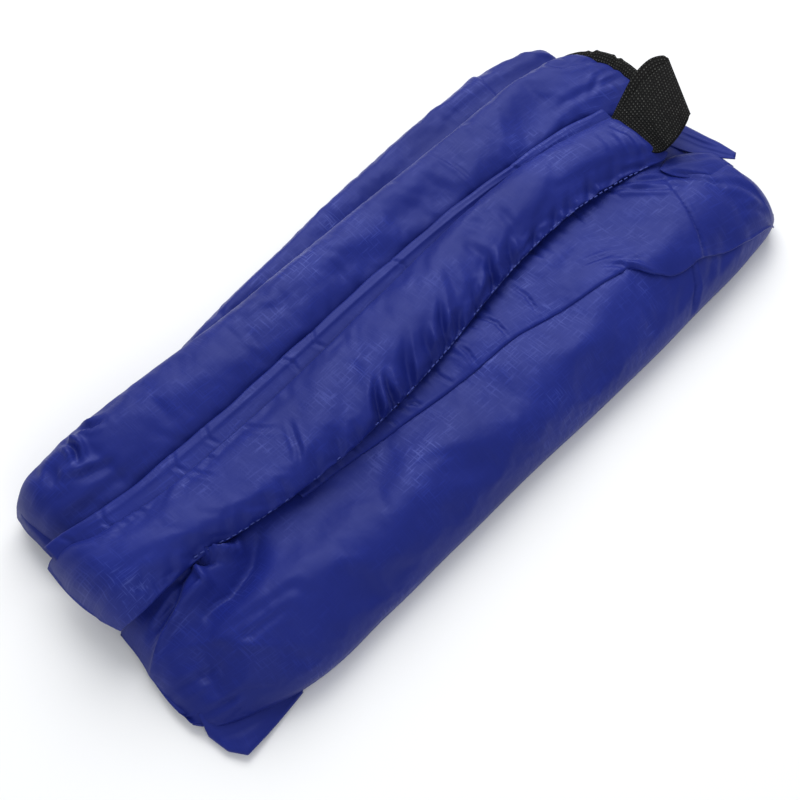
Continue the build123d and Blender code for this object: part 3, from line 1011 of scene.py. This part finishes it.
def loop_stitch_places():
    """Two short rows of stitches through the loop's sewn end."""
    return [((x, y, 43.4), (0.0, 1.0, 0.0)) for x in (165, 172) for y in (-11, -7.5, -4, -0.5)]


def make_stitches(name, places, material, body, node):
    """Short thread stitches at (place, direction) pairs, as one piece."""
    made = []
    for place, direction in places:
        bpy.ops.mesh.primitive_cylinder_add(vertices=8, radius=STITCH_RADIUS * MM,
                                            depth=STITCH_LENGTH * MM, location=Vector(place) * MM)
        stitch = bpy.context.object
        stitch.rotation_euler = Vector(direction).to_track_quat("Z", "Y").to_euler()
        made.append(stitch)
    for stitch in made:
        stitch.select_set(True)
    bpy.context.view_layer.objects.active = made[0]
    bpy.ops.object.join()
    piece = bpy.context.object
    bpy.ops.object.transform_apply(location=True, rotation=True, scale=True)
    piece.name = name
    piece.data.name = name
    piece.data.shade_smooth()
    piece.select_set(False)
    dress(piece, material, body, "thread", node)


# ---------------------------------------------------------------- putting it together

place_camera()
light_studio()
lay_floor()

nylon = sleeve_nylon()
webbing = black_webbing()
film = plain_finish("bladder_film", (0.42, 0.44, 0.46), (0.55, 0.57, 0.60), 0.35, 60, 0.0006)
valve_black = plain_finish("valve_black", (0.010, 0.010, 0.012), (0.02, 0.02, 0.024),
                           0.3, 900, 0.00004)
cap_grey = plain_finish("cap_grey", (0.018, 0.018, 0.02), (0.03, 0.03, 0.034),
                        0.5, 1400, 0.00006)
seal_rubber = plain_finish("seal_rubber", (0.012, 0.012, 0.013), (0.03, 0.03, 0.032),
                           0.7, 1800, 0.00005)
thread = plain_finish("thread", (0.02, 0.035, 0.22), (0.06, 0.085, 0.37), 0.5, 2500, 0.0001)

centre = make_centre_sleeve()
dress(centre, nylon, "top_fold", "sleeve_nylon", "centre_sleeve")

left = make_left_sleeve()
dress(left, nylon, "left_fold", "sleeve_nylon", "left_sleeve")

rear = make_rear_sleeve()
dress(rear, nylon, "folded_mat", "sleeve_nylon", "rear_sleeve")

right = make_right_sleeve()
dress(right, nylon, "folded_mat", "sleeve_nylon", "right_sleeve")

for make, node in (
    (make_base_sleeve, "base_sleeve"),
    (make_core_sleeve, "core_sleeve"),
    (make_foot_turnback, "foot_turnback"),
    (make_head_turnback, "head_turnback"),
    (make_rear_turnunder, "rear_turnunder"),
):
    layer = make()
    dress(layer, nylon, "folded_mat", "sleeve_nylon", node)

corner = make_foot_corner()
dress(corner, nylon, "folded_mat", "sleeve_nylon")

flap = make_seam_flap(right)
dress(flap, nylon, "folded_mat", "sleeve_nylon", "seam_flap")

band = make_edge_band()
dress(band, nylon, "folded_mat", "sleeve_nylon", "edge_band")

tail = make_hem_tail()
dress(tail, nylon, "folded_mat", "sleeve_nylon", "hem_tail")

tuck = make_head_tuck()
dress(tuck, nylon, "folded_mat", "sleeve_nylon", "head_tuck")

binding = make_mouth_binding()
dress(binding, webbing, "folded_mat", "binding_tape", "mouth_binding")

make_stitches("seam_stitches", seam_stitch_places(), thread, "top_fold", "seam_stitching")
make_stitches("loop_stitches", loop_stitch_places(), thread, "top_fold", "loop_stitching")

loop = make_carry_loop()
dress(loop, webbing, None, "webbing", "carry_loop")
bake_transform(loop)

loop_end = make_loop_tail()
dress(loop_end, webbing, "top_fold", "webbing", "loop_tail")

for names, finish in (
    (("base_bladder", "rear_bladder", "right_bladder", "left_bladder", "core_bladder",
      "centre_bladder"), film),
    (("valve_patch", "valve_flange", "valve_neck"), valve_black),
    (("valve_cap", "cap_leash"), cap_grey),
    (("valve_flap", "cap_seal"), seal_rubber),
):
    for node in names:
        NODES[node].data.materials.clear()
        NODES[node].data.materials.append(finish)
